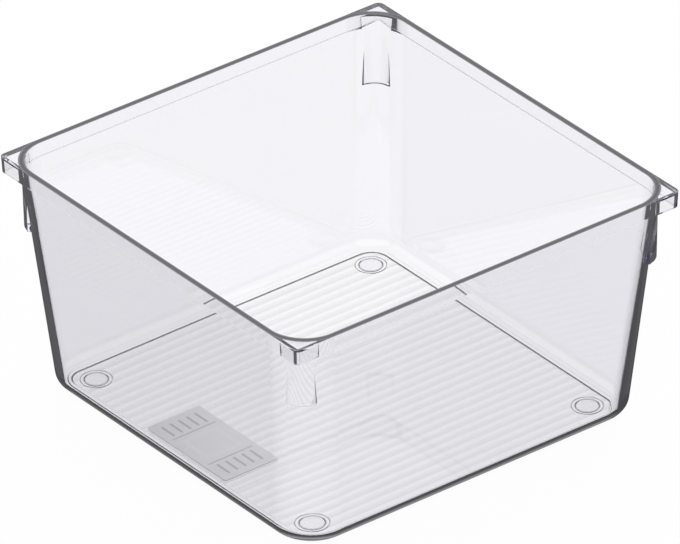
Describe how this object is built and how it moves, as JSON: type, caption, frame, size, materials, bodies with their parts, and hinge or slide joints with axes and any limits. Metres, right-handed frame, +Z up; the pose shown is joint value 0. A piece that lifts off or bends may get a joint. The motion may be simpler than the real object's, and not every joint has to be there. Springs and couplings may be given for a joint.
{
  "type": "drawer organizer bin",
  "caption": "Open square bin of clear rigid plastic with tapered walls, square rim ears, nesting lugs, ribbed floor, round non-slip pads and a small floor label.",
  "frame": {"origin": "middle of the base, on the plane where the four pads meet the shelf", "axes": "+Z up out of the open mouth; the front, with the label beside it, faces -Y; the floor's ribs run along Y; +X to the right seen from the front"},
  "size_m": [0.15, 0.15, 0.0807],
  "materials": {
    "clear_plastic": "polished clear rigid plastic",
    "clear_pad": "clear soft silicone, slightly frosted",
    "label_film": "frosted grey film"
  },
  "bodies": {
    "root": {"bin_body": "clear_plastic", "pad_front_left": "clear_pad", "pad_front_right": "clear_pad", "pad_back_left": "clear_pad", "pad_back_right": "clear_pad", "label": "label_film"}
  },
  "joints": []
}
